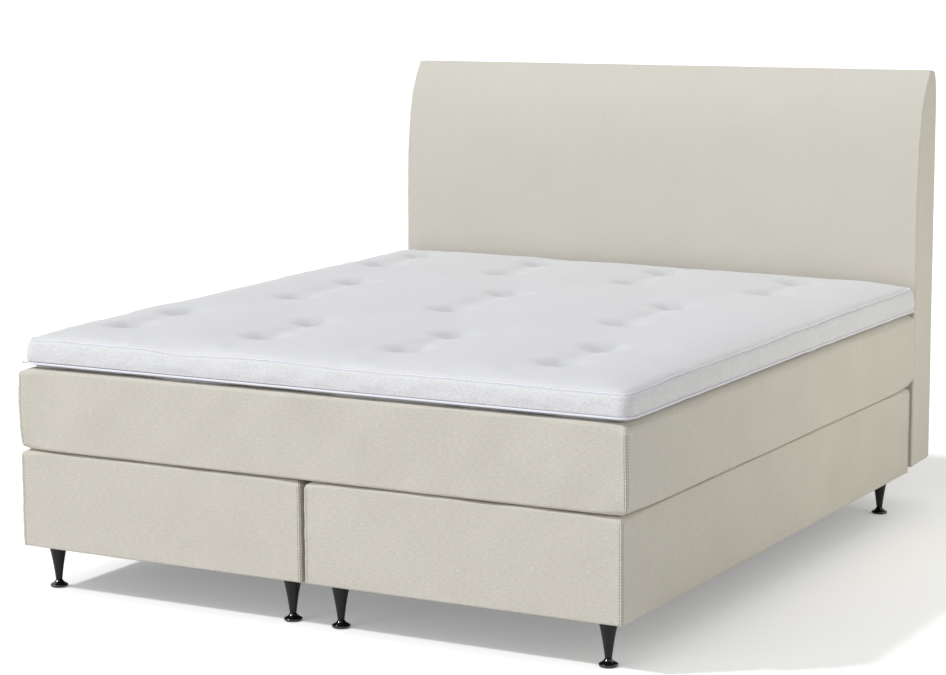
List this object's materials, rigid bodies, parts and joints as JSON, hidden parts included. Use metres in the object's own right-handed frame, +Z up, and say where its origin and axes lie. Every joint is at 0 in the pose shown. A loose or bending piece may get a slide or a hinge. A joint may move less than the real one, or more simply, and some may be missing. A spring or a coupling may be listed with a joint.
{
  "type": "box spring bed",
  "caption": "Double bed: twin sprung boxes on cone legs with screw glides, loose mattress, tufted zipped topper and a tall upholstered headboard with a rolled-back top.",
  "frame": {"origin": "on the floor, in the middle of the bed's outline", "axes": "+X to the sleeper's left, the right seen from the foot end; +Y from the foot end to the headboard; +Z up"},
  "size_m": [1.8159, 2.2029, 1.335],
  "materials": {
    "box_linen": "heathered beige-grey linen weave, matt",
    "mattress_linen": "heathered beige-grey linen weave, matt",
    "headboard_linen": "heathered beige-grey linen weave, matt",
    "topper_knit": "white double-knit jersey, matt",
    "zip_tape": "white woven zip tape",
    "zip_metal": "nickel-plated die casting",
    "foam": "cream open-cell polyurethane foam",
    "spring_pockets": "white nonwoven pocket cloth",
    "dust_cloth": "black spun-bonded cloth",
    "timber": "planed pine, bare",
    "plywood": "birch plywood, bare",
    "leg_lacquer": "turned beech, satin black lacquer",
    "glide_gloss": "gloss black enamel on steel",
    "zinc_steel": "zinc-plated steel"
  },
  "bodies": {
    "base": {"box_cover_left": "box_linen", "dust_cloth_left": "dust_cloth", "box_rail_left_outer": "timber", "box_rail_left_inner": "timber", "box_end_beam_left_foot": "timber", "box_end_beam_left_head": "timber", "slat_deck_left": "plywood", "box_springs_left": "spring_pockets", "box_foam_left": "foam", "headboard_bracket_left": "zinc_steel", "box_bolt_left": "zinc_steel", "headboard_bolt_left": "zinc_steel", "headboard_post_left": "timber", "box_cover_right": "box_linen", "dust_cloth_right": "dust_cloth", "box_rail_right_outer": "timber", "box_rail_right_inner": "timber", "box_end_beam_right_foot": "timber", "box_end_beam_right_head": "timber", "slat_deck_right": "plywood", "box_springs_right": "spring_pockets", "box_foam_right": "foam", "headboard_bracket_right": "zinc_steel", "box_bolt_right": "zinc_steel", "headboard_bolt_right": "zinc_steel", "headboard_post_right": "timber", "box_clip_foot": "zinc_steel", "box_clip_head": "zinc_steel", "leg_foot_left_outer": "leg_lacquer", "leg_foot_left_inner": "leg_lacquer", "leg_foot_right_inner": "leg_lacquer", "leg_foot_right_outer": "leg_lacquer", "leg_head_left_outer": "leg_lacquer", "leg_head_left_inner": "leg_lacquer", "leg_head_right_inner": "leg_lacquer", "leg_head_right_outer": "leg_lacquer", "headboard_cover": "headboard_linen", "headboard_foam": "foam", "headboard_panel": "plywood", "headboard_rail_bottom": "timber", "headboard_rail_top": "timber", "headboard_back_cloth": "dust_cloth"},
    "mattress": {"mattress_cover": "mattress_linen", "mattress_underside": "spring_pockets", "mattress_base_foam": "foam", "mattress_springs": "spring_pockets", "mattress_comfort_foam": "foam"},
    "topper": {"topper_cover": "topper_knit", "topper_underside": "topper_knit", "topper_core": "foam", "zip_tape": "zip_tape"},
    "zip_slider": {"zip_slider": "zip_metal"},
    "glide_foot_left_outer": {"glide_foot_left_outer": "glide_gloss"},
    "glide_foot_left_inner": {"glide_foot_left_inner": "glide_gloss"},
    "glide_foot_right_inner": {"glide_foot_right_inner": "glide_gloss"},
    "glide_foot_right_outer": {"glide_foot_right_outer": "glide_gloss"},
    "glide_head_left_outer": {"glide_head_left_outer": "glide_gloss"},
    "glide_head_left_inner": {"glide_head_left_inner": "glide_gloss"},
    "glide_head_right_inner": {"glide_head_right_inner": "glide_gloss"},
    "glide_head_right_outer": {"glide_head_right_outer": "glide_gloss"}
  },
  "joints": [
    {"name": "mattress_lift", "type": "slide", "parent": "base", "child": "mattress", "axis": [0, 0, 1], "range_m": [0, 0.96]},
    {"name": "topper_lift", "type": "slide", "parent": "mattress", "child": "topper", "axis": [0, 0, 1], "range_m": [0, 0.74]},
    {"name": "zip_slide", "type": "slide", "parent": "topper", "child": "zip_slider", "axis": [1, 0, 0], "range_m": [0, 1.72]},
    {"name": "glide_foot_left_outer_screw", "type": "slide", "parent": "base", "child": "glide_foot_left_outer", "axis": [0, 0, -1], "range_m": [0, 0.01]},
    {"name": "glide_foot_left_inner_screw", "type": "slide", "parent": "base", "child": "glide_foot_left_inner", "axis": [0, 0, -1], "range_m": [0, 0.01]},
    {"name": "glide_foot_right_inner_screw", "type": "slide", "parent": "base", "child": "glide_foot_right_inner", "axis": [0, 0, -1], "range_m": [0, 0.01]},
    {"name": "glide_foot_right_outer_screw", "type": "slide", "parent": "base", "child": "glide_foot_right_outer", "axis": [0, 0, -1], "range_m": [0, 0.01]},
    {"name": "glide_head_left_outer_screw", "type": "slide", "parent": "base", "child": "glide_head_left_outer", "axis": [0, 0, -1], "range_m": [0, 0.01]},
    {"name": "glide_head_left_inner_screw", "type": "slide", "parent": "base", "child": "glide_head_left_inner", "axis": [0, 0, -1], "range_m": [0, 0.01]},
    {"name": "glide_head_right_inner_screw", "type": "slide", "parent": "base", "child": "glide_head_right_inner", "axis": [0, 0, -1], "range_m": [0, 0.01]},
    {"name": "glide_head_right_outer_screw", "type": "slide", "parent": "base", "child": "glide_head_right_outer", "axis": [0, 0, -1], "range_m": [0, 0.01]}
  ]
}
